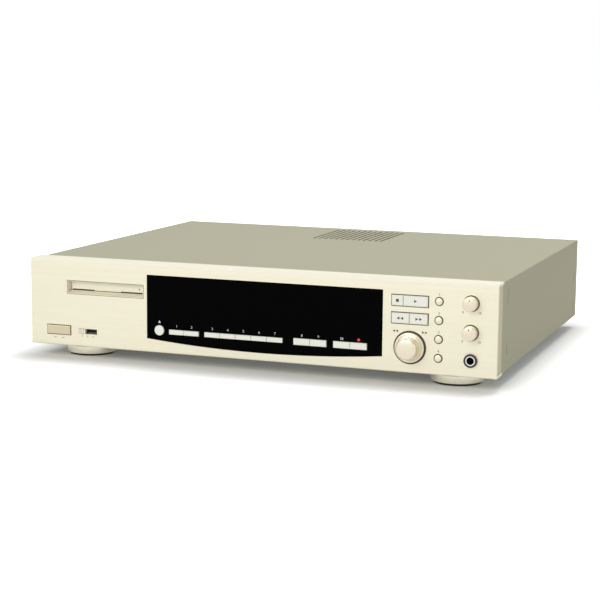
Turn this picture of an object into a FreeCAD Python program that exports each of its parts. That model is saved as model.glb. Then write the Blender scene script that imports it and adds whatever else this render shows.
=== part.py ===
# Minidisc recorder deck, full width, as separate pieces. Millimetres.
# Working axes: x to the right, y back from the front panel's face, z up from the front panel's lower edge.
# Every piece is moved at the end: the foot pads stand on z = 0 and the deck is centred in x and y.
import FreeCAD
import Part
import math
import os

V = FreeCAD.Vector

# Overall sizes
panel_width = 440.0
panel_height = 80.0
body_depth = 355.0
foot_height = 12.0
jog_proud = 14.0
jack_proud = 9.0

# Sheet and wall thicknesses
sheet = 1.0
panel_wall = 3.0
flange_wall = 2.0
flange_depth = 20.0
mould_wall = 2.0
board_thick = 1.6

# Clearances
key_gap = 0.35
fit_gap = 0.2
shaft_gap = 0.05
seat_gap = 0.3

# Front panel edges
bevel = 1.8
lower_bevel = 0.8
end_recess = 0.8

# Cover
cover_inset = 1.0
cover_lip = 11.0
vent_slots = 13
vent_pitch = 6.0
vent_length = 86.0
vent_width = 2.2
vent_from_rear = 12.0
press_deep = 0.25
press_wide = 1.2
press_marks = ((39.0, 58.0, 72.0), (39.0, 14.0, 23.0), (340.0, 35.0, 48.0), (340.0, 3.0, 18.0))

# Feet
foot_radius = 23.0
foot_in = 43.0
foot_from_front = 37.5
foot_from_rear = 40.0
pad_height = 2.0

# Display window
window_left_in = 118.0
window_right_in = 100.0
window_top_down = 9.7
window_corner_up = 12.4
window_middle_up = 6.8

# Slot and cartridge
slot_in = 76.15
slot_width = 77.0
slot_low_down = 31.7
slot_high_down = 19.6
slot_depth = 4.6
throat_width = 74.2
throat_height = 8.4
door_thick = 1.2
cartridge_width = 72.0
cartridge_depth = 68.0
cartridge_thick = 5.0

# Controls on the metal part of the panel
power_in = 28.75
power_width = 23.5
power_height = 8.1
power_up = 14.25
power_travel = 3.0
timer_in = 58.05
timer_width = 19.1
timer_height = 4.8
timer_up = 14.3
timer_knob_width = 7.2
transport_in = 76.0
transport_width = 32.0
transport_height = 8.9
transport_proud = 1.6
transport_upper_down = 18.05
transport_lower_down = 33.15
jog_in = 75.6
jog_up = 21.9
jog_radius = 13.0
jog_knob_radius = 9.3
jog_gap = 0.8
round_in = 50.5
round_radius = 3.0
round_low_up = 14.4
round_pitch = 16.2
level_in = 22.7
level_radius = 6.25
level_proud = 9.0
level_upper_down = 17.0
level_lower_down = 41.8
jack_in = 22.4
jack_up = 14.4
jack_bore = 3.25
jack_thread = 4.6
jack_nut = 5.7
jack_body = 16.0

# Keys in the window
key_row_up = 19.7
key_proud = 1.0
key_travel = 0.7
eject_radius = 4.6
eject_offset = -98.6

# Shafts, bushes and pins
encoder_shaft = 3.0
encoder_bush = 4.5
level_shaft = 3.0
level_bush = 4.0
motor_shaft = 1.0
door_pin = 0.5
cam_pin = 1.2
cam_pin_gap = 0.12
arm_pin = 0.6

# Front circuit board
board_back = 14.0
switch_size = 6.0
plunger_front = 10.1
plunger_half = 1.4
stem_half = 1.3
power_stem_end = 9.6
timer_blade_end = 10.0
shaft_can_front = 8.0

# Rear sockets
jack_block_in = 70.0
jack_block_half = 24.6
jack_block_deep = 14.0
jack_row_up = 40.0
jack_across = 14.0
jack_up_down = 8.0
jack_block_tall = 15.6
rca_radius = 4.15
rca_bore = 1.65
optical_from_block = (-62.0, -42.0)
optical_half = 5.7
optical_tall = 6.6
optical_mouth = 3.3
inlet_in = 50.0
inlet_up = 30.0
inlet_half = 12.2
inlet_tall = 7.7
inlet_pin_across = 4.3
socket_gap = 0.35

# Boards and power
stud_height = 7.0
stud_half = 3.0
main_front_from = 45.0
main_back_from = 24.0
transformer_in = 62.0
transformer_from_rear = 98.0
lug_across = 34.0

# Disc mechanism
mech_front = 16.0
holder_drop = 6.0
slider_travel = 20.0
sled_travel = 15.0
sled_start = 14.5
turntable_radius = 9.0
gear_teeth = 18
gear_module = 0.8
gear_backlash = 0.12
pressure_deg = 20.0
rod_radius = 1.5
tail_rod_radius = 1.0
screw_radius = 1.5
slider_thick = 1.6

# Worked out from the sizes above
x_left = -panel_width / 2
x_right = panel_width / 2
window_left = x_left + window_left_in
window_right = x_right - window_right_in
window_mid = (window_left + window_right) / 2
window_top = panel_height - window_top_down
slot_x = x_left + slot_in
slot_low = panel_height - slot_low_down
stem_end = plunger_front - key_travel - 0.1
frame_back = panel_wall + mould_wall
eject_x = window_mid + eject_offset
eject_up = key_row_up + 0.8
tube_left = window_left + 30.0
tube_right = window_right - 30.0
tube_low = key_row_up + 12.0
tube_high = window_top - 8.0
slot_high = panel_height - slot_high_down
throat_low = slot_high - 0.6 - throat_height
throat_high = slot_high - 0.6
hinge_z = throat_high - 0.2 - door_thick / 2
hinge_y = slot_depth + fit_gap + door_thick / 2
power_x = x_left + power_in
timer_x = x_left + timer_in
transport_x = x_right - transport_in
transport_rows = (panel_height - transport_upper_down, panel_height - transport_lower_down)
jog_x = x_right - jog_in
round_x = x_right - round_in
level_x = x_right - level_in
level_rows = (panel_height - level_upper_down, panel_height - level_lower_down)
jack_x = x_right - jack_in
cover_top = panel_height - cover_inset
cover_half = panel_width / 2 - cover_inset
pan_half = cover_half - sheet - seat_gap
pan_floor = sheet + 0.5
rear_face = body_depth
rear_inner = body_depth - sheet
board_y = board_back
stud_top = pan_floor + stud_height
board_top = stud_top + board_thick
jack_block_x = x_right - jack_block_in
inlet_x = x_left + inlet_in
transformer_x = x_left + transformer_in
transformer_y = body_depth - transformer_from_rear
front_y = -(jog_proud + body_depth + jack_proud) / 2 + jog_proud
front_half = panel_width / 2 - end_recess

# Height of the cartridge in the holder at rest, and what lies under it
cartridge_z = throat_low + (throat_height - cartridge_thick) / 2 - 0.3
holder_sheet = 0.8
pocket_height = cartridge_thick + 0.6
holder_half = cartridge_width / 2 + 0.4 + holder_sheet
holder_front = mech_front
holder_back = mech_front + cartridge_depth + 2.0
disc_y = mech_front + cartridge_depth / 2 + 1.0
playing_z = cartridge_z - holder_drop
turntable_top = playing_z + 0.8
sled_top = playing_z - holder_sheet - 1.0
plate_top = sled_top - 8.5
plate_low = plate_top - 2.5
rod_z = sled_top - 5.0
rod_y = disc_y - 15.0
screw_y = disc_y + 15.0
mech_left = slot_x - holder_half - 3.5
mech_right = slot_x + sled_start + sled_travel + 24.0
main_left = mech_right + 12.0
main_right = x_right - 14.0
main_front = flange_depth + main_front_from
main_back = rear_inner - main_back_from
spindle_floor = plate_top - 12.0
tail_y = holder_back + 4.0
tail_rod_y = tail_y + 3.25
arm_z = cartridge_z + pocket_height + 3.2
arm_pivot_y = tail_y + 3.2
arm_pivot_z = arm_z + 1.8
cam_pin_y = disc_y - 4.0
gear_radius = gear_teeth * gear_module / 2
slider_x1 = mech_left - 0.5
slider_x0 = slider_x1 - slider_thick
rack_line = plate_low - 2.0
gear_y = disc_y + 12.0
gear_z = rack_line - gear_radius


# Plain shapes
def block(x0, x1, y0, y1, z0, z1):
    return Part.makeBox(x1 - x0, y1 - y0, z1 - z0, V(x0, y0, z0))


def pin_x(y, z, x0, x1, radius):
    return Part.makeCylinder(radius, x1 - x0, V(x0, y, z), V(1, 0, 0))


def pin_y(x, z, y0, y1, radius):
    return Part.makeCylinder(radius, y1 - y0, V(x, y0, z), V(0, 1, 0))


def pin_z(x, y, z0, z1, radius):
    return Part.makeCylinder(radius, z1 - z0, V(x, y, z0), V(0, 0, 1))


def joined(shapes):
    result = shapes[0]
    if len(shapes) > 1:
        result = result.fuse(shapes[1:])
    return result.removeSplitter()


def cut(shape, tools):
    return shape.cut(tools) if tools else shape


def polygon(points):
    return Part.Face(Part.makePolygon(points + [points[0]]))


def profile_x(points, x0, x1):
    return polygon([V(x0, y, z) for y, z in points]).extrude(V(x1 - x0, 0, 0))


def profile_y(points, y0, y1):
    return polygon([V(x, y0, z) for x, z in points]).extrude(V(0, y1 - y0, 0))


def profile_z(points, z0, z1):
    return polygon([V(x, y, z0) for x, y in points]).extrude(V(0, 0, z1 - z0))


def turned(points, x, z):
    """A turned shape about an axis along y through x, z. Points are (radius, y)."""
    face = polygon([V(x + r, y, z) for r, y in points])
    return face.revolve(V(x, 0, z), V(0, 1, 0), 360)


def turned_upright(points, x, y):
    """A turned shape about an upright axis through x, y. Points are (radius, z)."""
    face = polygon([V(x + r, y, z) for r, z in points])
    return face.revolve(V(x, y, 0), V(0, 0, 1), 360)


def rounded(x0, x1, z0, z1, y0, y1, radius):
    """A plate facing y, with round corners."""
    plate = block(x0, x1, y0, y1, z0, z1)
    return plate.makeFillet(radius, [e for e in plate.Edges if abs(e.tangentAt(e.FirstParameter).y) > 0.9])


def group(shapes):
    return Part.makeCompound(shapes)


# Outlines that more than one piece follows
def window_shape(y0, y1, inset=0.0):
    """The window: straight top and sides, and a lower edge that sags in one arc."""
    left = window_left + inset
    right = window_right - inset
    top = window_top - inset
    corner = window_corner_up + inset
    middle = window_middle_up + inset
    a, b = V(left, y0, corner), V(right, y0, corner)
    sag = Part.Arc(a, V((left + right) / 2, y0, middle), b).toShape()
    up = Part.makeLine(b, V(right, y0, top))
    over = Part.makeLine(V(right, y0, top), V(left, y0, top))
    down = Part.makeLine(V(left, y0, top), a)
    return Part.Face(Part.Wire([sag, up, over, down])).extrude(V(0, y1 - y0, 0))


def key_groups():
    """Each group of keys in the window: names, left and right edge from the window's middle, height."""
    return (
        (["edit_key_1", "edit_key_2"], -89.0, -59.8, 4.3),
        (["mode_key_%d" % n for n in range(1, 6)], -54.5, 20.0, 4.3),
        (["title_key_1", "title_key_2"], 30.0, 60.6, 5.8),
        (["pause_key", "record_key"], 66.7, 97.4, 5.8),
    )


def key_places():
    """Name, left, right, low and high edge of every key in the window."""
    places = []
    for names, left, right, height in key_groups():
        pitch = (right - left) / len(names)
        for n, name in enumerate(names):
            start = window_mid + left + n * pitch
            low = key_row_up - height / 2
            places.append((name, start, start + pitch, low, low + height))
    return places


def transport_places():
    """Name, left, right, low and high edge of the four transport keys."""
    left = transport_x - transport_width / 2
    splits = (10.4, 15.9)
    names = (("stop_key", "play_key"), ("rewind_key", "forward_key"))
    places = []
    for row, split, pair in zip(transport_rows, splits, names):
        low = row - transport_height / 2
        high = row + transport_height / 2
        places.append((pair[0], left, left + split, low, high))
        places.append((pair[1], left + split, left + transport_width, low, high))
    return places


def round_places():
    return [(round_x, round_low_up + n * round_pitch) for n in range(4)]


def switch_places():
    """Where a small switch stands on the front board, one behind each key and round button."""
    places = [((a + b) / 2, (c + d) / 2) for name, a, b, c, d in key_places()]
    places += [((a + b) / 2, (c + d) / 2) for name, a, b, c, d in transport_places()]
    places += round_places()
    places.append((eject_x, eject_up))
    return places


def key_openings(y0, y1):
    """One opening round each group of keys in the window."""
    tools = []
    for names, left, right, height in key_groups():
        a, b = window_mid + left - key_gap, window_mid + right + key_gap
        low, high = key_row_up - height / 2 - key_gap, key_row_up + height / 2 + key_gap
        tools.append(block(a, b, y0, y1, low, high))
    return tools


def square_hole(x, z, y0, y1, half):
    return block(x - half, x + half, y0, y1, z - half, z + half)


def foot_places():
    xs = (x_left + foot_in, x_right - foot_in)
    ys = (foot_from_front, body_depth - foot_from_rear)
    return [(x, y) for x in xs for y in ys]


# Front panel and what sits in it
def front_panel():
    """A C section with a bevel along its top front edge, then every opening cut through its wall."""
    h = panel_height
    section = [
        (flange_depth, 0), (lower_bevel, 0), (0, lower_bevel), (0, h - bevel), (bevel, h), (flange_depth, h),
        (flange_depth, h - flange_wall), (panel_wall, h - flange_wall), (panel_wall, flange_wall),
        (flange_depth, flange_wall),
    ]
    body = profile_x(section, x_left, x_right)
    back = panel_wall + 1
    tools = [window_shape(-1, back)]
    tools.append(block(slot_x - slot_width / 2, slot_x + slot_width / 2, -1, back, slot_low, slot_high))
    half, tall = power_width / 2 + key_gap, power_height / 2 + key_gap
    tools.append(block(power_x - half, power_x + half, -1, back, power_up - tall, power_up + tall))
    half, tall = timer_width / 2, timer_height / 2
    tools.append(block(timer_x - half, timer_x + half, -1, back, timer_up - tall, timer_up + tall))
    half, tall = transport_width / 2 + key_gap, transport_height / 2 + key_gap
    for z in transport_rows:
        tools.append(block(transport_x - half, transport_x + half, -1, back, z - tall, z + tall))
    tools.append(pin_y(jog_x, jog_up, -1, back, jog_radius + jog_gap))
    for x, z in round_places():
        tools.append(pin_y(x, z, -1, back, round_radius + key_gap))
    for z in level_rows:
        tools.append(pin_y(level_x, z, -1, back, level_radius + key_gap))
    tools.append(pin_y(jack_x, jack_up, -1, back, jack_thread + fit_gap))
    return cut(body, tools)


def front_subpanel():
    """The moulded frame behind the metal: a plate, walls at both ends, and a guide round each opening."""
    y0 = panel_wall
    y1 = panel_wall + mould_wall
    low = flange_wall + fit_gap
    high = panel_height - flange_wall - fit_gap
    parts = [block(-front_half, front_half, y0, y1, low, high)]
    for side in (-1, 1):
        a, b = sorted((side * front_half, side * (front_half - mould_wall)))
        parts.append(block(a, b, y0, flange_depth - 0.2, low, high))
    for z in (low, high - 1.5):
        parts.append(block(-front_half + mould_wall, front_half - mould_wall, y1, y1 + 5, z, z + 1.5))
    for x in (window_left - 6, window_right + 3.5):
        parts.append(block(x, x + 1.5, y1, y1 + 4, low + 1.5, high - 1.5))
    body = joined(parts)
    far = y1 + 6
    tools = key_openings(y0 - 1, y1 + 1)
    tools.append(square_hole(eject_x, eject_up, y0 - 1, y1 + 1, eject_radius + key_gap))
    tools.append(block(tube_left - 1, tube_right + 1, y0 - 1, y1 + 1, tube_low - 1, tube_high + 1))
    half = slot_width / 2
    tools.append(block(slot_x - half, slot_x + half, y0 - 1, far, slot_low, slot_high + 1.9))
    half, tall = power_width / 2 + key_gap, power_height / 2 + key_gap
    tools.append(block(power_x - half, power_x + half, y0 - 1, y1 + 1, power_up - tall, power_up + tall))
    half = timer_width / 2
    tools.append(block(timer_x - half, timer_x + half, y0 - 1, y1 + 1, timer_up - 1, timer_up + 1))
    half, tall = transport_width / 2 + key_gap, transport_height / 2 + key_gap
    for z in transport_rows:
        tools.append(block(transport_x - half, transport_x + half, y0 - 1, y1 + 1, z - tall, z + tall))
    tools.append(pin_y(jog_x, jog_up, y0 - 1, y1 + 1, encoder_bush + fit_gap))
    for x, z in round_places():
        tools.append(square_hole(x, z, y0 - 1, y1 + 1, round_radius + key_gap))
    for z in level_rows:
        tools.append(pin_y(level_x, z, y0 - 1, y1 + 1, level_bush + fit_gap))
    tools.append(pin_y(jack_x, jack_up, y0 - 1, y1 + 1, jack_thread + fit_gap))
    return cut(body, tools)


def slot_bezel():
    """The frame of the slot: its sides slope in to the throat, and two ears behind hold the door's pins."""
    a, b = slot_x - slot_width / 2 + fit_gap, slot_x + slot_width / 2 - fit_gap
    c, d = slot_low + fit_gap, slot_high - fit_gap
    body = block(a, b, 0.1, slot_depth, c, d)
    rim = 0.5
    outer = [V(a + rim, 0, c + rim), V(b - rim, 0, c + rim), V(b - rim, 0, d - 0.3), V(a + rim, 0, d - 0.3)]
    t = throat_width / 2
    low, high = throat_low, throat_high
    inner = [V(slot_x - t, slot_depth, low), V(slot_x + t, slot_depth, low)]
    inner += [V(slot_x + t, slot_depth, high), V(slot_x - t, slot_depth, high)]
    wires = [Part.makePolygon(w + [w[0]]) for w in (outer, inner)]
    funnel = Part.makeLoft(wires, True, True)
    parts = [cut(body, [funnel, block(slot_x - t, slot_x + t, slot_depth - 0.01, slot_depth + 1, low, high)])]
    ear_back = hinge_y + 2.2
    parts.append(block(slot_x - t - 0.6, slot_x + t + 0.6, slot_depth, ear_back, high + 0.3, high + 1.5))
    for side in (-1, 1):
        x0, x1 = sorted((slot_x + side * t, slot_x + side * (t + 0.6)))
        parts.append(block(x0, x1, slot_depth, ear_back, hinge_z - 2.5, high + 0.4))
    body = joined(parts)
    holes = [pin_x(hinge_y, hinge_z, slot_x - t - 2, slot_x + t + 2, door_pin + shaft_gap)]
    return cut(body, holes)


def slot_door():
    """The flap, with a rolled upper edge, small end pins, and a finger of metal that stiffens its back."""
    half = throat_width / 2 - seat_gap
    y0, y1 = hinge_y - door_thick / 2, hinge_y + door_thick / 2
    leaf = block(slot_x - half, slot_x + half, y0, y1, throat_low + 0.5, hinge_z)
    roll = pin_x(hinge_y, hinge_z, slot_x - half, slot_x + half, door_thick / 2)
    pins = pin_x(hinge_y, hinge_z, slot_x - half - 0.8, slot_x + half + 0.8, door_pin)
    rib = block(slot_x - half + 6, slot_x + half - 6, y1, y1 + 0.5, hinge_z - 4.2, hinge_z - 3.2)
    return joined([leaf, roll, pins, rib])


def display_window():
    """Smoked acrylic with a fine front bevel and an opening for each group of keys."""
    body = window_shape(0.2, panel_wall - 0.02, fit_gap)
    front = [e for e in body.Edges if e.BoundBox.YMax < 0.21]
    body = body.makeChamfer(0.4, front)
    tools = key_openings(-1, panel_wall + 1)
    tools.append(pin_y(eject_x, eject_up, -1, panel_wall + 1, eject_radius + key_gap))
    return cut(body, tools)


# Keys, buttons and knobs
def key_with_stem(x0, x1, z0, z1, proud, edge):
    """A key cap with bevelled front edges, a flange that stops it behind the frame, and a stem."""
    back = frame_back + seat_gap
    a, b = x0 + key_gap / 2, x1 - key_gap / 2
    cap = block(a, b, -proud, back, z0, z1)
    cap = cap.makeChamfer(edge, [e for e in cap.Edges if e.BoundBox.YMax < -proud + 0.01])
    flange = block(a, b, back, back + 1.0, z0 - 1.1, z1 + 1.1)
    stem = square_hole((x0 + x1) / 2, (z0 + z1) / 2, back + 1.0, stem_end, stem_half)
    return joined([cap, flange, stem])


def window_key(name):
    for key, x0, x1, z0, z1 in key_places():
        if key == name:
            return key_with_stem(x0, x1, z0, z1, key_proud, 0.35)


def transport_key(name):
    for key, x0, x1, z0, z1 in transport_places():
        if key == name:
            return key_with_stem(x0, x1, z0, z1, transport_proud, 0.6)


def round_button(x, z, radius, proud):
    """A round button with a bevelled face, a square flange behind the frame and a stem."""
    back = frame_back + seat_gap
    cap = pin_y(x, z, -proud, back, radius)
    cap = cap.makeChamfer(0.6, [e for e in cap.Edges if e.BoundBox.YMax < -proud + 0.01])
    flange = square_hole(x, z, back, back + 1.0, radius + 0.9)
    stem = square_hole(x, z, back + 1.0, stem_end, stem_half)
    return joined([cap, flange, stem])


def power_button():
    half, tall = power_width / 2, power_height / 2
    back = frame_back
    cap = block(power_x - half, power_x + half, -1.2, 9.0, power_up - tall, power_up + tall)
    cap = cap.makeFillet(0.6, [e for e in cap.Edges if e.BoundBox.YMax < -1.19])
    wide, high = half - 1.5, tall - 1.5
    cap = cut(cap, [block(power_x - wide, power_x + wide, 1.5, 10, power_up - high, power_up + high)])
    lips = []
    for side in (-1, 1):
        a, b = sorted((power_up + side * (tall - 0.5), power_up + side * (tall + 1.2)))
        lips.append(block(power_x - half, power_x + half, back + seat_gap, back + seat_gap + 1, a, b))
    stem = square_hole(power_x, power_up, 1.0, power_stem_end, 1.8)
    return joined([cap] + lips + [stem])


def timer_switch_knob():
    """The slide switch's knob at its left stop, with a ribbed face and a blade that goes to the switch."""
    x0 = timer_x - timer_width / 2 + 0.3
    x1 = x0 + timer_knob_width
    half = timer_height / 2 - 0.3
    cap = block(x0, x1, -0.8, panel_wall - seat_gap, timer_up - half, timer_up + half)
    grooves = []
    for n in range(3):
        x = x0 + timer_knob_width * (n + 1) / 4
        grooves.append(block(x - 0.35, x + 0.35, -1, -0.4, timer_up - half - 1, timer_up + half + 1))
    cap = cut(cap, grooves)
    blade = block(x0 + 2.4, x1 - 2.4, panel_wall - seat_gap, timer_blade_end, timer_up - 0.7, timer_up + 0.7)
    return joined([cap, blade])


def jog_dial():
    """The dial: a skirt that runs in the panel's hole, and a tall bevelled knob on it."""
    r, k, p = jog_radius, jog_knob_radius, jog_proud
    points = [(0, -p), (k - 1.8, -p), (k, -p + 1.8), (k, -2.4), (r, -2.4), (r, 1.6), (0, 1.6)]
    body = turned(points, jog_x, jog_up)
    return cut(body, [pin_y(jog_x, jog_up, -8, 3, encoder_shaft + shaft_gap)])


def level_knob(z):
    """A small knob with a bevelled face and a fine pointer groove."""
    r, p = level_radius, level_proud
    points = [(0, -p), (r - 1.2, -p), (r, -p + 1.2), (r, 1.4), (0, 1.4)]
    body = turned(points, level_x, z)
    groove = block(level_x - 0.35, level_x + 0.35, -p - 1, -p + 0.5, z + r * 0.25, z + r + 1)
    return cut(body, [groove, pin_y(level_x, z, -6, 3, level_shaft + shaft_gap)])


# Front board and what it carries
def front_board():
    """The long board, notched where the cartridge passes, with holes for the jog and level bushes."""
    low, high = 5.0, panel_height - 7.0
    body = block(x_left + 8, x_right - 8, board_y, board_y + board_thick, low, high)
    half = slot_width / 2 + 4
    tools = [block(slot_x - half, slot_x + half, board_y - 1, board_y + 3, slot_low - 4, high + 1)]
    a, b = jack_x - jack_body / 2 - seat_gap, jack_x + jack_body / 2 + seat_gap
    tools.append(block(a, b, board_y - 1, board_y + 3, low - 1, jack_up + jack_body / 2 + seat_gap))
    return cut(body, tools)


def key_switches():
    """One small push switch behind every key: a square can with a plunger."""
    shapes = []
    half = switch_size / 2
    for x, z in switch_places():
        can = square_hole(x, z, plunger_front + 0.5, board_y, half)
        shapes.append(joined([can, square_hole(x, z, plunger_front, plunger_front + 0.5, plunger_half)]))
    return group(shapes)


def panel_switches():
    """The latching power switch and the timer slide switch, both soldered to the front board."""
    front = power_stem_end + power_travel + 0.2
    power = block(power_x - 6, power_x + 6, front, board_y, power_up - 6, power_up + 6)
    can = block(timer_x - 12, timer_x + 12, timer_blade_end - 2.0, board_y, timer_up - 3.5, timer_up + 3.5)
    x0, x1 = timer_x - timer_width / 2 - 0.6, timer_x + timer_width / 2 + 0.6
    slot = block(x0, x1, timer_blade_end - 3, timer_blade_end + 0.4, timer_up - 1.0, timer_up + 1.0)
    return group([power, cut(can, [slot])])


def display_tube():
    """The flat glass display tube with its pumping tip and its pins to the board."""
    y0 = frame_back + 0.5
    glass = block(tube_left, tube_right, y0, y0 + 6.0, tube_low, tube_high)
    tip = pin_x(y0 + 3, tube_low + 6, tube_right, tube_right + 5, 1.8)
    foot = block(tube_left + 6, tube_right - 6, y0 + 6.0, board_y, tube_low + 2, tube_low + 5)
    return joined([glass, tip, foot])


def shaft_control(x, z, can_half, bush, shaft, nose):
    """A can on the board, a round bush through the frame, and the bush's shaft up to the knob."""
    can = square_hole(x, z, shaft_can_front, board_y, can_half)
    collar = pin_y(x, z, panel_wall + 0.3, shaft_can_front, bush)
    return joined([can, collar, pin_y(x, z, nose, panel_wall + 0.3, shaft)])


def jog_encoder():
    return shaft_control(jog_x, jog_up, 7.0, encoder_bush, encoder_shaft, -7.0)


def level_controls():
    return group([shaft_control(level_x, z, 5.5, level_bush, level_shaft, -5.0) for z in level_rows])


def phones_jack():
    """The jack's square body behind the panel, its threaded nose and the round nut seen from the front."""
    half = jack_body / 2
    body = square_hole(jack_x, jack_up, frame_back, 30.0, half)
    nose = pin_y(jack_x, jack_up, -0.6, frame_back, jack_thread)
    nut = pin_y(jack_x, jack_up, -1.6, -0.02, jack_nut)
    nut = nut.makeChamfer(0.4, [e for e in nut.Edges if e.BoundBox.YMax < -1.5])
    return cut(joined([body, nose, nut]), [pin_y(jack_x, jack_up, -2, 28, jack_bore)])


# Case
def cover_profile(inner):
    """The cover's U outline, from its lower left edge over the top to its lower right edge."""
    t = sheet if inner else 0.0
    half = cover_half - t
    high = cover_top - t
    return [(-half, 0.5), (-half, high), (half, high), (half, 0.5)]


def top_cover():
    """A bent sheet: top, two sides with pressed marks, folded lips at the rear, and slots near the rear."""
    outline = cover_profile(False) + list(reversed(cover_profile(True)))
    y0 = flange_depth + 0.3
    shell = profile_y(outline, y0, rear_face + sheet)
    outer = [e for e in shell.Edges if e.BoundBox.YLength > 100 and e.BoundBox.ZMin > cover_top - 0.1]
    shell = shell.makeFillet(0.8, outer)
    back = rear_face
    inner = cover_half - sheet + 0.01
    lip = block(-inner, inner, back, back + sheet, cover_top - cover_lip, cover_top - sheet + 0.01)
    parts = [shell, lip]
    for side in (-1, 1):
        a, b = sorted((side * inner, side * (cover_half - cover_lip)))
        parts.append(block(a, b, back, back + sheet, 3.0, cover_top - cover_lip + 0.01))
    body = joined(parts)
    tools = []
    y1 = rear_face - vent_from_rear
    for n in range(vent_slots):
        x = (n - (vent_slots - 1) / 2) * vent_pitch
        a, b = x - vent_width / 2, x + vent_width / 2
        tools.append(block(a, b, y1 - vent_length, y1, cover_top - 3, cover_top + 1))
    for x, z in cover_screw_places():
        tools.append(pin_y(x, z, back - 1, back + 3, 1.75))
    for side in (-1, 1):
        a, b = sorted((side * (cover_half + 1), side * (cover_half - press_deep)))
        for y, low, high in press_marks:
            tools.append(block(a, b, y, y + press_wide, low, high))
    return cut(body, tools)


def cover_screw_places():
    top = cover_top - cover_lip / 2 - 0.5
    side = cover_half - cover_lip / 2
    return [(-side, top), (0.0, top), (side, top), (-side, 14.0), (side, 14.0)]


def bottom_chassis():
    """A folded steel pan: floor, low side walls, front and rear flanges, pressed ribs and studs."""
    y0 = flange_depth + 0.3
    y1 = rear_inner - 0.02
    tall = 16.0
    floor = block(-pan_half, pan_half, y0, y1, pan_floor - sheet, pan_floor)
    parts = [floor]
    for side in (-1, 1):
        a, b = sorted((side * pan_half, side * (pan_half - sheet)))
        parts.append(block(a, b, y0, y1, pan_floor - 0.01, pan_floor + tall))
    parts.append(block(-pan_half, pan_half, y0, y0 + sheet, pan_floor - 0.01, pan_floor + tall))
    parts.append(block(-pan_half, pan_half, y1 - sheet, y1, pan_floor - 0.01, pan_floor + tall))
    for x in (-0.25 * panel_width, 0.12 * panel_width):
        parts.append(block(x, x + 6, y0 + 60, y1 - 30, pan_floor - 0.01, pan_floor + 1.5))
    for x, y in main_board_studs() + transformer_studs():
        s = stud_half
        parts.append(block(x - s, x + s, y - s, y + s, pan_floor - 0.01, stud_top))
    body = joined(parts)
    tools = [pin_z(x, y, -1, pan_floor + 3, 1.75) for x, y in foot_places()]
    for x, z in cover_screw_places():
        tools.append(pin_y(x, z, y1 - sheet - 1, y1 + 1, 1.5))
    a, b = jack_x - jack_body / 2 - seat_gap, jack_x + jack_body / 2 + seat_gap
    low = jack_up - jack_body / 2 - seat_gap
    tools.append(block(a, b, y0 - 1, y0 + sheet + 1, low, pan_floor + tall + 1))
    return cut(body, tools)


def main_board_studs():
    return [(x, y) for x in (main_left + 5, main_right - 5) for y in (main_front + 5, main_back - 5)]


def transformer_studs():
    return [(transformer_x - lug_across, transformer_y), (transformer_x + lug_across, transformer_y)]


def rear_panel():
    """The flat rear sheet with its openings, held to the pan's rear flange."""
    body = block(-pan_half, pan_half, rear_inner, rear_face, pan_floor - sheet, cover_top - sheet - seat_gap)
    holes = [(jack_block_x, jack_row_up, jack_block_half, jack_block_tall)]
    holes.append((inlet_x, inlet_up, inlet_half, inlet_tall))
    holes += [(x, jack_row_up, optical_half, optical_tall) for x in optical_places()]
    tools = []
    for x, z, wide, tall in holes:
        wide += socket_gap
        tall += socket_gap
        tools.append(block(x - wide, x + wide, rear_inner - 1, rear_face + 1, z - tall, z + tall))
    for x, z in cover_screw_places():
        tools.append(pin_y(x, z, rear_inner - 1, rear_face + 1, 1.45))
    return cut(body, tools)


def optical_places():
    return [jack_block_x + dx for dx in optical_from_block]


def jack_places():
    across = (-jack_across, jack_across)
    return [(jack_block_x + dx, jack_row_up + dz) for dx in across for dz in (-jack_up_down, jack_up_down)]


def jack_block():
    """Four sockets in one moulded block: metal barrels with an insulator and a round hole in the middle."""
    y0 = rear_inner - jack_block_deep
    low, high = jack_row_up - jack_block_tall, jack_row_up + jack_block_tall
    left, right = jack_block_x - jack_block_half, jack_block_x + jack_block_half
    body = block(left, right, y0, rear_face + 1.0, low, high)
    legs = block(left + 4.6, right - 4.6, y0, y0 + 6, board_top, low + 0.1)
    parts = [body, legs]
    holes = []
    for x, z in jack_places():
        parts.append(pin_y(x, z, rear_face + 0.9, rear_face + jack_proud, rca_radius))
        holes.append(pin_y(x, z, rear_face - 6, rear_face + jack_proud + 1, rca_bore))
    return cut(joined(parts), holes)


def optical_sockets():
    """Two square digital sockets, each with a shrouded mouth."""
    shapes = []
    low, high = jack_row_up - optical_tall, jack_row_up + optical_tall
    for x in optical_places():
        body = block(x - optical_half, x + optical_half, rear_inner - 13, rear_face + 1.5, low, high)
        legs = block(x - 4, x + 4, rear_inner - 13, rear_inner - 6, board_top, low + 0.1)
        mouth = square_hole(x, jack_row_up, rear_face - 8, rear_face + 3, optical_mouth)
        shapes.append(cut(joined([body, legs]), [mouth]))
    return group(shapes)


def mains_inlet():
    """A two-pin inlet: a shrouded body in the rear panel, with its cavity and two pins."""
    z = inlet_up
    y1 = rear_face + 1.6
    left, right = inlet_x - inlet_half, inlet_x + inlet_half
    body = block(left, right, rear_inner - 16, rear_face - 0.02, z - inlet_tall, z + inlet_tall)
    flange = block(inlet_x - 16, inlet_x + 16, rear_face, y1, z - 9.5, z + 9.5)
    slot = rounded(inlet_x - 8.1, inlet_x + 8.1, z - 4.3, z + 4.3, rear_face - 12, y1 + 1, 4.2)
    shell = cut(joined([body, flange]), [slot])
    across = (-inlet_pin_across, inlet_pin_across)
    pins = [pin_y(inlet_x + dx, z, rear_face - 12.5, rear_face - 1.5, 1.2) for dx in across]
    return joined([shell] + pins)


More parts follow.
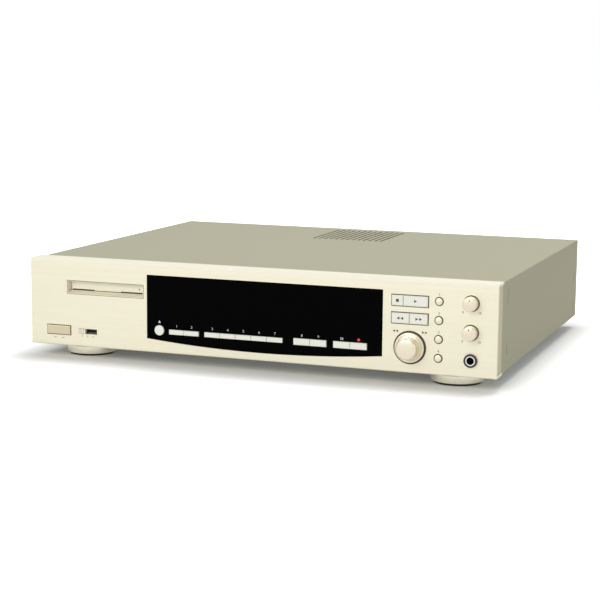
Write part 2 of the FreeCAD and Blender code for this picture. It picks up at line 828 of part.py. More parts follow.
def feet():
    """Four turned feet: a narrow neck under the pan, a wide bright ring, and a recess for the screw."""
    top = pan_floor - sheet
    low = -foot_height + pad_height
    r = foot_radius
    shapes = []
    for x, y in foot_places():
        points = [(2.2, top), (r - 7, top), (r - 7, top - 2.8), (r, top - 2.8), (r, low)]
        points += [(5.0, low), (5.0, low + 5.5), (2.2, low + 5.5)]
        shapes.append(turned_upright(points, x, y))
    return group(shapes)


def foot_pads():
    """Rubber rings under the feet, pressed into their lower faces."""
    shapes = []
    for x, y in foot_places():
        low = -foot_height
        ring = pin_z(x, y, low, low + pad_height, foot_radius - 2.5)
        shapes.append(cut(ring, [pin_z(x, y, low - 1, 0, 7.0)]))
    return group(shapes)


def case_screws():
    """Pan-head screws: five in the cover's rear lip and one up through each foot."""
    shapes = []
    for x, z in cover_screw_places():
        y = rear_face + sheet
        points = [(0, y + 1.7), (2.8, y + 1.7), (2.8, y), (1.4, y), (1.4, y - 7), (0, y - 7)]
        shapes.append(turned(points, x, z))
    for x, y in foot_places():
        z = -foot_height + pad_height + 5.5
        points = [(0, z - 1.7), (3.4, z - 1.7), (3.4, z), (1.6, z), (1.6, z + 10), (0, z + 10)]
        shapes.append(turned_upright(points, x, y))
    return group(shapes)


# Boards and power
def main_board():
    z = stud_top
    body = block(main_left, main_right, main_front, main_back, z, z + board_thick)
    left = jack_block_x + optical_from_block[0] - 10
    rear = block(left, main_right, main_back - 0.01, rear_inner - sheet - 0.4, z, z + board_thick)
    return joined([body, rear])


def board_parts():
    """Chips, tall capacitors, a crystal and the cable sockets on the main board."""
    z = board_top
    width = main_right - main_left
    depth = main_back - main_front
    shapes = []
    for fx, fy, size in ((0.25, 0.2, 14.0), (0.5, 0.3, 20.0), (0.75, 0.2, 12.0), (0.45, 0.62, 14.0)):
        x, y = main_left + fx * width, main_front + fy * depth
        shapes.append(block(x - size / 2, x + size / 2, y - size / 2, y + size / 2, z, z + 2.2))
    for fx, fy, r, h in (
        (0.15, 0.75, 8.0, 32.0), (0.15, 0.9, 8.0, 32.0), (0.3, 0.85, 5.0, 20.0), (0.4, 0.9, 5.0, 20.0),
        (0.65, 0.75, 4.0, 12.0), (0.72, 0.75, 4.0, 12.0), (0.8, 0.75, 4.0, 12.0), (0.88, 0.5, 3.2, 8.0),
    ):
        x, y = main_left + fx * width, main_front + fy * depth
        shapes.append(pin_z(x, y, z, z + h, r))
    for fx in (0.3, 0.6):
        x = main_left + fx * width
        shapes.append(block(x - 14, x + 14, main_front + 3, main_front + 9, z, z + 7))
    return group(shapes)


def power_transformer():
    """A laminated core with two wound bobbin halves, standing on two lugs."""
    z0 = stud_top
    x, y = transformer_x, transformer_y
    core = block(x - 26, x + 26, y - 24, y + 24, z0 + 2, z0 + 46)
    windows = [block(x - 18 + s, x - 6 + s, y - 25, y + 25, z0 + 12, z0 + 36) for s in (0, 24)]
    core = cut(core, windows)
    coil = rounded(x - 17, x + 17, z0 + 13, z0 + 35, y - 32, y + 32, 4.0)
    base = block(x - 38, x + 38, y - 12, y + 12, z0, z0 + 2.01)
    return joined([core, coil, base])


def heat_sink():
    """A comb of cooling fins standing on the main board."""
    z = board_top
    x = main_left + 0.9 * (main_right - main_left)
    y = main_front + 0.68 * (main_back - main_front)
    parts = [block(x - 2, x + 2, y, y + 50, z, z + 30)]
    for n in range(7):
        parts.append(block(x - 10, x + 10, y + n * 8, y + n * 8 + 2, z, z + 30))
    return joined(parts)


# Disc mechanism
def mech_chassis():
    """A table-like casting: a plate with a well for the pickup, four legs, and walls for rods and holder."""
    x0, x1 = mech_left, mech_right
    y0, y1 = mech_front, holder_back + 14
    plate = block(x0, x1, y0, y1, plate_low, plate_top)
    parts = [plate]
    for x in (x0 + 5, x1 - 5):
        for y in (y0 + 5 + flange_depth - mech_front + 2, y1 - 5):
            parts.append(block(x - 4, x + 4, y - 4, y + 4, pan_floor, plate_low + 0.01))
    wall_top = rod_z + 4
    parts.append(block(x0, x0 + 2.5, y0, y1, plate_top - 0.01, wall_top))
    parts.append(block(x1 - 2.5, x1, y0, y1, plate_top - 0.01, wall_top))
    for y in (mech_front + 6, holder_back - 12):
        parts.append(block(x0, x0 + 2.5, y, y + 8, wall_top - 0.01, cartridge_z + 4))
    body = joined(parts)
    well = block(slot_x + turntable_radius + 1.2, x1 - 5, rod_y - 5, y1 - 4, plate_low - 1, plate_top + 1)
    motor = pin_z(slot_x, disc_y, plate_low - 1, plate_top + 1, 7.0)
    tools = [well, motor]
    for y, r in ((rod_y, rod_radius), (tail_rod_y, tail_rod_radius), (screw_y, screw_radius + 0.1)):
        tools.append(pin_x(y, rod_z, x0 - 1, x1 + 1, r + shaft_gap))
    tools.append(pin_x(gear_y, gear_z, x0 - 1, x0 + 4, motor_shaft + 0.1))
    return cut(body, tools)


def cartridge_holder():
    """A folded sheet tray: a top with a bay for the recording head, two sides, and narrow lips below."""
    t = holder_sheet
    low = cartridge_z - 0.1 - t
    high = cartridge_z - 0.1 + pocket_height + t
    a, b = slot_x - holder_half, slot_x + holder_half
    y0, y1 = holder_front, holder_back
    top = block(a, b, y0, y1, high - t, high)
    parts = [top, block(a, a + t, y0, y1, low, high - 0.01), block(b - t, b, y0, y1, low, high - 0.01)]
    parts.append(block(a, a + 3.4, y0, y1, low, low + t))
    parts.append(block(b - 3.4, b, y0, disc_y - 12, low, low + t))
    parts.append(block(b - 3.4, b, disc_y + 12, y1, low, low + t))
    parts.append(block(a, slot_x - 8, y1 - t, y1, low + 2, high - 0.01))
    parts.append(pin_x(cam_pin_y, low + 3, a - 3.4, a + 0.1, cam_pin))
    body = joined(parts)
    bay = block(slot_x - 4, slot_x + sled_start + sled_travel + 7, disc_y - 9, y1 + 1, high - t - 1, high + 1)
    return cut(body, [bay])


def tooth_outline():
    """Gear outline from involute flanks, thinned a little for backlash."""
    pressure = math.radians(pressure_deg)
    pitch_r = gear_radius
    base_r = pitch_r * math.cos(pressure)
    tip_r = pitch_r + gear_module
    root_r = pitch_r - 1.25 * gear_module
    half_pitch = math.pi / (2 * gear_teeth) - gear_backlash / (2 * pitch_r)
    involute = math.tan(pressure) - pressure
    points = []
    for n in range(gear_teeth):
        middle = 2 * math.pi * n / gear_teeth
        flank = []
        for r in (max(base_r, root_r), tip_r):
            turn = math.acos(base_r / r)
            flank.append((r, half_pitch + involute - (math.tan(turn) - turn)))
        points.append((root_r, middle - flank[0][1]))
        points += [(r, middle - w) for r, w in flank]
        points += [(r, middle + w) for r, w in reversed(flank)]
        points.append((root_r, middle + flank[0][1]))
    return points


def loading_gear():
    """The gear that drives the slider's rack, on the loading motor's shaft."""
    start = math.pi / gear_teeth
    x0, x1 = slider_x0 - 0.2, slider_x1
    outline = []
    for r, w in tooth_outline():
        angle = w + math.pi / 2 + start
        outline.append(V(x0, gear_y + r * math.cos(angle), gear_z + r * math.sin(angle)))
    body = polygon(outline).extrude(V(x1 - x0, 0, 0))
    return cut(body, [pin_x(gear_y, gear_z, x0 - 1, x1 + 1, motor_shaft + shaft_gap)])


def loading_slider():
    """The cam plate: a rack along its lower edge and a sloping slot that draws the holder down."""
    slope = holder_drop / slider_travel
    low = cartridge_z - 0.1 - holder_sheet + 3
    pitch = math.pi * gear_module
    top = low + 4.5
    y0 = gear_y - slider_travel - 16
    teeth = int((slider_travel + 18) / pitch)
    rack_y0 = gear_y - pitch * math.ceil((slider_travel + 6) / pitch)
    flank = math.tan(math.radians(pressure_deg))
    a = gear_module
    root = rack_line + 1.25 * a
    points = [(y0, top), (y0, root)]
    for n in range(teeth):
        middle = rack_y0 + n * pitch
        w = pitch / 4 - gear_backlash / 2
        points.append((middle - w - 1.25 * a * flank, root))
        points.append((middle - w + a * flank, rack_line - a))
        points.append((middle + w - a * flank, rack_line - a))
        points.append((middle + w + 1.25 * a * flank, root))
    y1 = rack_y0 + teeth * pitch + 4
    points += [(y1, root), (y1, top)]
    body = profile_x(points, slider_x0, slider_x1)
    r = cam_pin + cam_pin_gap
    reach = 1.5
    ends = []
    for y in (cam_pin_y + reach, cam_pin_y - slider_travel - reach):
        ends.append((y, low + (y - cam_pin_y) * slope))
    run = V(0, ends[1][0] - ends[0][0], ends[1][1] - ends[0][1])
    side = V(0, -run.z, run.y).normalize() * r
    corners = [V(slider_x0 - 1, y, z) for y, z in ends]
    quad = [corners[0] + side, corners[1] + side, corners[1] - side, corners[0] - side]
    slot = polygon(quad).extrude(V(slider_x1 - slider_x0 + 2, 0, 0))
    tools = [slot] + [pin_x(y, z, slider_x0 - 1, slider_x1 + 1, r) for y, z in ends]
    return cut(body, tools)


def turntable():
    """The magnetic turntable that lifts into the disc's hub, on the spindle motor's shaft."""
    top = turntable_top
    r = turntable_radius
    points = [(0, top + 0.6), (2.0, top + 0.6), (2.0, top), (r, top), (r, top - 2.4)]
    points += [(motor_shaft, top - 2.4), (motor_shaft, spindle_floor + 1), (0, spindle_floor + 1)]
    return turned_upright(points, slot_x, disc_y)


def mech_motors():
    """Three small motors: under the turntable, behind the lead screw's end, and beside the loading gear."""
    spindle = pin_z(slot_x, disc_y, spindle_floor, plate_top, 6.8)
    rim = block(slot_x - 9.5, slot_x + 9.5, disc_y - 9.5, disc_y + 9.5, plate_low - 1.5, plate_low)
    bore = pin_z(slot_x, disc_y, spindle_floor + 0.7, plate_top + 1, motor_shaft + shaft_gap)
    spindle = cut(joined([spindle, rim]), [bore])
    sled = pin_x(screw_y, rod_z, mech_right + 0.02, mech_right + 14, 5.0)
    sled = cut(sled, [pin_x(screw_y, rod_z, mech_right - 1, mech_right + 6, screw_radius + shaft_gap)])
    x0 = mech_left + 0.3
    loading = pin_x(gear_y, gear_z, x0, x0 + 16, 5.0)
    nose = pin_x(gear_y, gear_z, slider_x0 - 1.5, x0 + 0.1, motor_shaft)
    return group([spindle, sled, joined([loading, nose])])


def pickup_sled():
    """The pickup: a stepped body, its lens, bores for both rods and the screw, and a tail to the arm."""
    lens_x = slot_x + sled_start
    x0, x1 = lens_x - 3.9, lens_x + 20
    top = sled_top
    low = sled_top - 8.0
    body = block(x0, x1, rod_y - 4, screw_y + 4, low, top - 1.5)
    raised = block(x0, x0 + 12, disc_y - 7, disc_y + 7, top - 1.6, top)
    lens = pin_z(lens_x, disc_y, top - 0.1, top + 1.3, 2.4)
    tail_x0, tail_x1 = lens_x + 4, lens_x + 12
    back = tail_y
    tail = block(tail_x0, tail_x1, screw_y + 3.9, back + 5, low, low + 2.5)
    post = block(tail_x0, tail_x1, back + 1.5, back + 5, low, arm_z - 0.2)
    fork = cut(joined([body, raised, lens, tail, post]), [
        pin_x(rod_y, rod_z, x0 - 1, x1 + 1, rod_radius + shaft_gap),
        pin_x(screw_y, rod_z, x0 - 1, x1 + 1, screw_radius + 0.08),
        pin_x(tail_rod_y, rod_z, x0 - 1, x1 + 1, tail_rod_radius + shaft_gap),
    ])
    ears = []
    for x in (tail_x0, tail_x1 - 1.5):
        ears.append(block(x, x + 1.5, back + 1.5, back + 5, arm_z - 0.3, arm_z + 3.6))
    fork = joined([fork] + ears)
    return cut(fork, [pin_x(arm_pivot_y, arm_pivot_z, tail_x0 - 1, tail_x1 + 1, arm_pin + shaft_gap)])


def head_arm():
    """The recording head's arm: a springy strip with folded edges, pivoted on the pickup's post."""
    lens_x = slot_x + sled_start
    y = arm_pivot_y
    z = arm_pivot_z
    x0, x1 = lens_x + 5.8, lens_x + 10.2
    hub = pin_x(y, z, x0, x1, 1.5)
    axle = pin_x(y, z, lens_x + 4.2, lens_x + 11.8, arm_pin)
    outline = [(lens_x - 3, disc_y - 4), (lens_x + 3, disc_y - 4), (x1, y), (x0, y)]
    strip = profile_z(outline, z - 0.4, z + 0.4)
    head = block(lens_x - 2.5, lens_x + 2.5, disc_y - 3, disc_y + 3, z - 2.2, z - 0.39)
    return joined([hub, axle, strip, head])


def lead_screw():
    """The pickup's drive screw between the motor and the chassis wall, with a plain shank at each end."""
    return pin_x(screw_y, rod_z, mech_left + 0.2, mech_right + 5, screw_radius)


def guide_rods():
    """The two polished rods that the pickup and its tail run on."""
    a, b = mech_left + 0.2, mech_right - 0.2
    return group([pin_x(rod_y, rod_z, a, b, rod_radius), pin_x(tail_rod_y, rod_z, a, b, tail_rod_radius)])


def all_pieces():
    pieces = {
        "front_panel": front_panel(), "front_subpanel": front_subpanel(), "slot_bezel": slot_bezel(),
        "slot_door": slot_door(), "display_window": display_window(), "power_button": power_button(),
        "timer_switch_knob": timer_switch_knob(), "jog_dial": jog_dial(),
        "eject_button": round_button(eject_x, eject_up, eject_radius, key_proud),
        "record_level_knob": level_knob(level_rows[0]), "phones_level_knob": level_knob(level_rows[1]),
        "front_board": front_board(), "key_switches": key_switches(), "panel_switches": panel_switches(),
        "display_tube": display_tube(), "jog_encoder": jog_encoder(), "level_controls": level_controls(),
        "phones_jack": phones_jack(), "top_cover": top_cover(), "bottom_chassis": bottom_chassis(),
        "rear_panel": rear_panel(), "jack_block": jack_block(), "optical_sockets": optical_sockets(),
        "mains_inlet": mains_inlet(), "feet": feet(), "foot_pads": foot_pads(), "case_screws": case_screws(),
        "main_board": main_board(), "board_parts": board_parts(), "power_transformer": power_transformer(),
        "heat_sink": heat_sink(), "mech_chassis": mech_chassis(), "cartridge_holder": cartridge_holder(),
        "loading_slider": loading_slider(), "loading_gear": loading_gear(), "turntable": turntable(),
        "mech_motors": mech_motors(), "pickup_sled": pickup_sled(), "head_arm": head_arm(),
        "lead_screw": lead_screw(), "guide_rods": guide_rods(),
    }
    for name, x0, x1, z0, z1 in key_places():
        pieces[name] = window_key(name)
    for name, x0, x1, z0, z1 in transport_places():
        pieces[name] = transport_key(name)
    for n, (x, z) in enumerate(round_places()):
        pieces["round_button_%d" % (n + 1)] = round_button(x, z, round_radius, 1.4)
    return pieces


def save(pieces):
    os.makedirs("parts", exist_ok=True)
    for name, shape in sorted(pieces.items()):
        shape = shape.copy()
        shape.translate(V(0, front_y, foot_height))
        if not shape.isValid() or not shape.Solids:
            raise ValueError(name + " is not a valid solid")
        shape.exportStep("parts/" + name + ".step")
    print(len(pieces), "pieces")


save(all_pieces())
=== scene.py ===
import math

import bmesh
import bpy
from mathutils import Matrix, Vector


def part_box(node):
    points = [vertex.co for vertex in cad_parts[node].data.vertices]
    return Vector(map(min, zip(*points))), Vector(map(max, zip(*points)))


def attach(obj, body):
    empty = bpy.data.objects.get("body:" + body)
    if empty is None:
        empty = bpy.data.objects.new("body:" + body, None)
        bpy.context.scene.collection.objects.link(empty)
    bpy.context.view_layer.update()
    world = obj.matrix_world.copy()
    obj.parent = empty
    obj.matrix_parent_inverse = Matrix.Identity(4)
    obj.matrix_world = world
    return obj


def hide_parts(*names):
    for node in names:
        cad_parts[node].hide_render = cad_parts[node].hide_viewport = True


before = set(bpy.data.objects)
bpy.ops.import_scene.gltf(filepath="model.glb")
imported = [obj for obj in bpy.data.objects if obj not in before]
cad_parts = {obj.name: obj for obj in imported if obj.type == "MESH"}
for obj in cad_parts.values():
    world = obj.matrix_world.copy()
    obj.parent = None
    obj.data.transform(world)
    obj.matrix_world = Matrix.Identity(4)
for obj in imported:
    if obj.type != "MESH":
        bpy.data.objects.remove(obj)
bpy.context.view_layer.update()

# All sizes are in metres; MM turns the small ones written in millimetres into metres.
MM = 0.001
# Two points closer than this are one point.
hair = 1e-7
panel_low, panel_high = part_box("front_panel")
window_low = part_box("display_window")[0]
front = panel_low.y
panel_base = panel_low.z


# Materials
def sum_node(nodes, operation, vector=False):
    """A node that does one sum, on numbers or on vectors."""
    node = nodes.new("ShaderNodeVectorMath" if vector else "ShaderNodeMath")
    node.operation = operation
    return node


class Finish:
    """A new material with its shader, and short ways to add the nodes that the finishes here share."""

    def __init__(self, name, colour, metallic=0.0, roughness=0.5, **sockets):
        self.material = bpy.data.materials.new(name)
        self.material.use_nodes = True
        self.nodes = self.material.node_tree.nodes
        self.links = self.material.node_tree.links
        self.shader = self.nodes["Principled BSDF"]
        self.shader.inputs["Base Color"].default_value = (*colour, 1)
        self.shader.inputs["Metallic"].default_value = metallic
        self.shader.inputs["Roughness"].default_value = roughness
        for socket, value in sockets.items():
            self.shader.inputs[socket.replace("_", " ")].default_value = value
        self.colour = colour
        self.roughness = roughness

    def noise(self, scale, detail=3.0, stretch=(1, 1, 1)):
        coordinates = self.nodes.new("ShaderNodeTexCoord")
        mapping = self.nodes.new("ShaderNodeMapping")
        mapping.inputs["Scale"].default_value = stretch
        noise = self.nodes.new("ShaderNodeTexNoise")
        noise.inputs["Scale"].default_value = scale
        noise.inputs["Detail"].default_value = detail
        self.links.new(coordinates.outputs["Object"], mapping.inputs["Vector"])
        self.links.new(mapping.outputs["Vector"], noise.inputs["Vector"])
        return noise.outputs["Fac"]

    def rings(self, centre, scale):
        """Fine rings about an axis along y through the centre, as a lathe leaves them."""
        coordinates = self.nodes.new("ShaderNodeTexCoord")
        mapping = self.nodes.new("ShaderNodeMapping")
        mapping.inputs["Location"].default_value = tuple(-c for c in centre)
        flatten = sum_node(self.nodes, "MULTIPLY", vector=True)
        flatten.inputs[1].default_value = (1, 0, 1)
        length = sum_node(self.nodes, "LENGTH", vector=True)
        wave = self.nodes.new("ShaderNodeTexNoise")
        wave.noise_dimensions = "1D"
        wave.inputs["Scale"].default_value = scale
        self.links.new(coordinates.outputs["Object"], mapping.inputs["Vector"])
        self.links.new(mapping.outputs["Vector"], flatten.inputs[0])
        self.links.new(flatten.outputs["Vector"], length.inputs[0])
        self.links.new(length.outputs["Value"], wave.inputs["W"])
        return wave.outputs["Fac"]

    def tint(self, factor, spread):
        """The colour varies by a small share as the factor goes from 0 to 1."""
        ramp = self.nodes.new("ShaderNodeMapRange")
        ramp.inputs["To Min"].default_value = 1 - spread
        ramp.inputs["To Max"].default_value = 1 + spread
        mix = sum_node(self.nodes, "SCALE", vector=True)
        mix.inputs[0].default_value = self.colour
        self.links.new(factor, ramp.inputs["Value"])
        self.links.new(ramp.outputs["Result"], mix.inputs["Scale"])
        self.links.new(mix.outputs["Vector"], self.shader.inputs["Base Color"])
        return self

    def vary_roughness(self, factor, spread):
        ramp = self.nodes.new("ShaderNodeMapRange")
        ramp.inputs["To Min"].default_value = self.roughness - spread
        ramp.inputs["To Max"].default_value = self.roughness + spread
        self.links.new(factor, ramp.inputs["Value"])
        self.links.new(ramp.outputs["Result"], self.shader.inputs["Roughness"])
        return self

    def bump(self, factor, depth, strength=0.5):
        bump = self.nodes.new("ShaderNodeBump")
        bump.inputs["Distance"].default_value = depth
        bump.inputs["Strength"].default_value = strength
        self.links.new(factor, bump.inputs["Height"])
        self.links.new(bump.outputs["Normal"], self.shader.inputs["Normal"])
        return self


def brushed_finish(name, colour, grain=(6, 900, 900), metallic=0.75, roughness=0.42):
    """Brushed metal: fine streaks in colour, gloss and height. With the grain given here they run along x."""
    finish = Finish(name, colour, metallic, roughness)
    streaks = finish.noise(scale=1.0, detail=4.0, stretch=grain)
    finish.tint(streaks, spread=0.035).vary_roughness(streaks, spread=0.08)
    finish.bump(streaks, depth=0.02 * MM, strength=0.35)
    return finish.material


def turned_finish(name, colour, centre, roughness=0.28):
    """Metal turned on a lathe: very fine rings round the centre."""
    finish = Finish(name, colour, metallic=0.85, roughness=roughness)
    rings = finish.rings(centre, scale=1600.0)
    finish.tint(rings, spread=0.015).vary_roughness(rings, spread=0.04)
    finish.bump(rings, depth=0.005 * MM, strength=0.12)
    return finish.material


def painted_sheet_finish(name, colour):
    """Fine satin paint with a faint flake and a slight orange peel."""
    finish = Finish(name, colour, metallic=0.25, roughness=0.5)
    flake = finish.noise(scale=2600.0, detail=2.0)
    peel = finish.noise(scale=420.0)
    finish.tint(flake, spread=0.05).vary_roughness(peel, spread=0.05)
    finish.bump(flake, depth=0.03 * MM, strength=0.3)
    return finish.material


def moulded_finish(name, colour, roughness=0.45, metallic=0.0, grain=1500.0, spread=0.03):
    """Moulded plastic, print or a plain small part, with a fine grain."""
    finish = Finish(name, colour, metallic, roughness)
    skin = finish.noise(scale=grain)
    finish.tint(skin, spread).vary_roughness(skin, spread=0.05)
    finish.bump(skin, depth=0.03 * MM, strength=0.25)
    return finish.material


def zinc_finish():
    """Zinc-plated sheet: a soft mottled grey, brighter and duller in patches."""
    finish = Finish("zinc_sheet", (0.62, 0.63, 0.61), metallic=0.85, roughness=0.4)
    spangle = finish.noise(scale=60.0, detail=5.0)
    finish.tint(spangle, spread=0.09).vary_roughness(spangle, spread=0.09)
    finish.bump(finish.noise(scale=900.0), depth=0.02 * MM, strength=0.3)
    return finish.material


def acrylic_finish():
    """Smoked acrylic: black, polished, with a very faint haze of fine wiping marks."""
    finish = Finish("smoked_acrylic", (0.001, 0.0012, 0.001), metallic=0.0, roughness=0.05, IOR=1.07)
    haze = finish.noise(scale=30.0, detail=6.0, stretch=(1, 1, 3))
    finish.vary_roughness(haze, spread=0.02)
    finish.bump(finish.noise(scale=15.0, detail=2.0), depth=0.02 * MM, strength=0.1)
    return finish.material


def board_finish():
    """Green solder mask, lighter and darker in streaks, as over tracks."""
    finish = Finish("circuit_board", (0.07, 0.20, 0.08), metallic=0.0, roughness=0.35)
    tracks = finish.noise(scale=320.0, detail=1.0, stretch=(1, 3, 1))
    finish.tint(tracks, spread=0.25).bump(tracks, depth=0.03 * MM, strength=0.4)
    return finish.material


def core_finish():
    """The stacked iron plates of the transformer's core, as fine level lines."""
    finish = Finish("transformer_core", (0.16, 0.13, 0.10), metallic=0.5, roughness=0.5)
    plates = finish.noise(scale=1.0, detail=1.0, stretch=(4, 4, 2400))
    finish.tint(plates, spread=0.3).bump(plates, depth=0.1 * MM, strength=0.6)
    return finish.material


champagne = (0.79, 0.755, 0.595)
olive_gold = (0.50, 0.47, 0.29)
khaki = (0.335, 0.323, 0.205)
cream = (0.86, 0.855, 0.77)
print_and_shade_brown = (0.09, 0.07, 0.05)

metal = brushed_finish("champagne_brushed", champagne)
paint = painted_sheet_finish("khaki_sheet_paint", khaki)
zinc = zinc_finish()
acrylic = acrylic_finish()
end_mould = moulded_finish("olive_end_mould", olive_gold, 0.4, 0.4)
slot_mould = moulded_finish("champagne_mould", (0.80, 0.75, 0.60), 0.42, 0.35, 2200.0, 0.05)
power_mould = moulded_finish("power_mould", (0.66, 0.58, 0.40), 0.42, 0.4, 2600.0, 0.08)
key_mould = moulded_finish("cream_key", cream, 0.38)
# Black moulded plastic, and also painted shade in gaps, in the timer recess, along the slot and on the feet's
# necks.
black_mould_and_shade = moulded_finish("black_mould_and_shade", (0.02, 0.02, 0.02), 0.5)
rubber = moulded_finish("foot_rubber", (0.012, 0.012, 0.012), 0.75)
board = board_finish()
steel = brushed_finish("bright_steel", (0.70, 0.70, 0.71), (900, 900, 900), 0.9, 0.25)
nickel = brushed_finish("nickel_plate", (0.80, 0.78, 0.74), (600, 600, 600), 0.95, 0.18)
screw_metal = moulded_finish("passivated_screw", (0.50, 0.46, 0.33), 0.35, 0.9)
fins = brushed_finish("fin_aluminium", (0.70, 0.70, 0.72), (900, 900, 6), 0.85, 0.4)
core = core_finish()
tube = moulded_finish("tube_glass", (0.02, 0.03, 0.03), 0.08)
# Dark brown for printed marks, and also for the painted shade in the gaps round keys, buttons and knobs.
ink_and_shade_dark = moulded_finish("panel_print_and_painted_shade", print_and_shade_brown, 0.55)
ink_white = moulded_finish("window_print", (0.62, 0.62, 0.60), 0.55)
# Brown painted shade along the slot's edges.
slot_edge_shade = moulded_finish("slot_edge_painted_shade", (0.30, 0.24, 0.14), 0.5)
jack_red = moulded_finish("jack_red_insulator", (0.55, 0.04, 0.03), 0.4)
jack_white = moulded_finish("jack_white_insulator", (0.75, 0.74, 0.70), 0.4)
ink_red = moulded_finish("record_print", (0.75, 0.05, 0.03), 0.5)


def paint_nodes():
    """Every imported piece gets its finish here. Those not named get the cream of the keys."""
    finishes = {
        "front_panel": metal, "front_subpanel": end_mould, "slot_bezel": slot_mould, "slot_door": slot_mould,
        "display_window": acrylic, "power_button": power_mould, "timer_switch_knob": slot_mould,
        "top_cover": paint, "bottom_chassis": zinc, "rear_panel": paint, "mech_chassis": zinc,
        "cartridge_holder": zinc, "head_arm": steel, "loading_slider": zinc, "guide_rods": steel,
        "lead_screw": steel, "turntable": steel, "mech_motors": steel, "case_screws": screw_metal,
        "foot_pads": rubber, "front_board": board, "main_board": board, "board_parts": black_mould_and_shade,
        "key_switches": black_mould_and_shade, "panel_switches": black_mould_and_shade, "optical_sockets": black_mould_and_shade,
        "mains_inlet": black_mould_and_shade, "loading_gear": key_mould, "pickup_sled": black_mould_and_shade,
        "jack_block": black_mould_and_shade, "phones_jack": nickel, "jog_encoder": nickel, "level_controls": nickel,
        "display_tube": tube, "power_transformer": core, "heat_sink": fins,
    }
    for name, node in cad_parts.items():
        finish = finishes.get(name, key_mould)
        node.data.materials.clear()
        node.data.materials.append(finish)


# Meshes
def new_piece(name, mesh_builder, finish, body, smooth_angle=35.0):
    """A mesh object made by a bmesh builder, shaded smooth up to an angle, riding on its body."""
    mesh = bpy.data.meshes.new(name)
    work = bmesh.new()
    mesh_builder(work)
    bmesh.ops.recalc_face_normals(work, faces=work.faces)
    work.to_mesh(mesh)
    work.free()
    for polygon in mesh.polygons:
        polygon.use_smooth = True
    mesh.set_sharp_from_angle(angle=math.radians(smooth_angle))
    mesh.materials.append(finish)
    piece = bpy.data.objects.new(name, mesh)
    bpy.context.scene.collection.objects.link(piece)
    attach(piece, body)
    return piece


def lathe(points, centre, upright=False, steps=96):
    """A closed turned mesh. Points are (radius, along) in metres, from the axis back to the axis."""

    def build(work):
        rings = []
        for radius, along in points:
            ring = []
            count = 1 if radius < hair else steps
            for n in range(count):
                turn = 2 * math.pi * n / steps
                a, b = centre[0] + radius * math.cos(turn), centre[1] + radius * math.sin(turn)
                ring.append(work.verts.new((a, b, along) if upright else (a, along, b)))
            rings.append(ring)
        for ring, following in zip(rings, rings[1:]):
            for n in range(steps):
                m = (n + 1) % steps
                corners = [ring[n % len(ring)], ring[m % len(ring)]]
                corners += [following[m % len(following)], following[n % len(following)]]
                unique = list(dict.fromkeys(corners))
                if len(unique) > 2:
                    work.faces.new(unique)

    return build


def arc_points(centre, radius, start, end, steps):
    """Points on an arc in the (radius, along) plane, from one angle to the other, in degrees."""
    points = []
    for n in range(steps + 1):
        turn = math.radians(start + (end - start) * n / steps)
        points.append((centre[0] + radius * math.cos(turn), centre[1] + radius * math.sin(turn)))
    return points


def dome_points(nose, radius, height, steps):
    """Points from the axis out over a shallow dome, in the (radius, along) plane."""
    return [(radius * n / steps, nose + height * (n / steps) ** 2) for n in range(steps + 1)]


def prism(outlines, y_front, thickness):
    """Flat printed shapes facing the front. Each outline is a list of (x, z)."""

    def build(work):
        for outline in outlines:
            near = [work.verts.new((x, y_front - thickness, z)) for x, z in outline]
            far = [work.verts.new((x, y_front, z)) for x, z in outline]
            work.faces.new(near)
            work.faces.new(list(reversed(far)))
            for n in range(len(outline)):
                m = (n + 1) % len(outline)
                work.faces.new([near[n], far[n], far[m], near[m]])

    return build


ink_thickness = 0.03 * MM
slot_top = panel_high.z - 19.6 * MM


def printed(name, outlines, y_front, finish, body="deck"):
    new_piece(name, prism(outlines, y_front, ink_thickness), finish, body, 10.0)


def triangle(x, z, size, direction):
    """A triangle that points right (1, 0), left (-1, 0) or up (0, 1)."""
    dx, dz = direction
    half = size / 2
    if dz:
        return [(x - half, z - half * dz), (x + half, z - half * dz), (x, z + half * dz)]
    return [(x - half * dx, z - half), (x + half * dx, z), (x - half * dx, z + half)]


def bar(x, z, width, height):
    a, b = width / 2, height / 2
    return [(x - a, z - b), (x + a, z - b), (x + a, z + b), (x - a, z + b)]


def disc_outline(x, z, radius, steps=24):
    turns = [2 * math.pi * n / steps for n in range(steps)]
    return [(x + radius * math.cos(t), z + radius * math.sin(t)) for t in turns]


def number(name, text, x, z, height, y_front, finish):
    """A small printed number, centred at x, z."""
    curve = bpy.data.curves.new(name, "FONT")
    curve.body = text
    curve.size = height * 1.4
    curve.align_x = "CENTER"
    curve.align_y = "CENTER"
    curve.extrude = ink_thickness / 2
    holder = bpy.data.objects.new(name + "_text", curve)
    bpy.context.scene.collection.objects.link(holder)
    bpy.context.view_layer.update()
    mesh = bpy.data.meshes.new_from_object(holder.evaluated_get(bpy.context.evaluated_depsgraph_get()))
    bpy.data.objects.remove(holder)
    bpy.data.curves.remove(curve)
    for vertex in mesh.vertices:
        a, b, c = vertex.co
        vertex.co = (x + a, y_front - ink_thickness / 2 - c, z + b)
    mesh.name = name
    mesh.materials.clear()
    mesh.materials.append(finish)
    piece = bpy.data.objects.new(name, mesh)
    bpy.context.scene.collection.objects.link(piece)
    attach(piece, "deck")


def middle(node):
    low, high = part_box(node)
    return (low + high) / 2


def face_centre(low, high):
    """The middle of a box as the front shows it: x and z."""
    return (low.x + high.x) / 2, (low.z + high.z) / 2


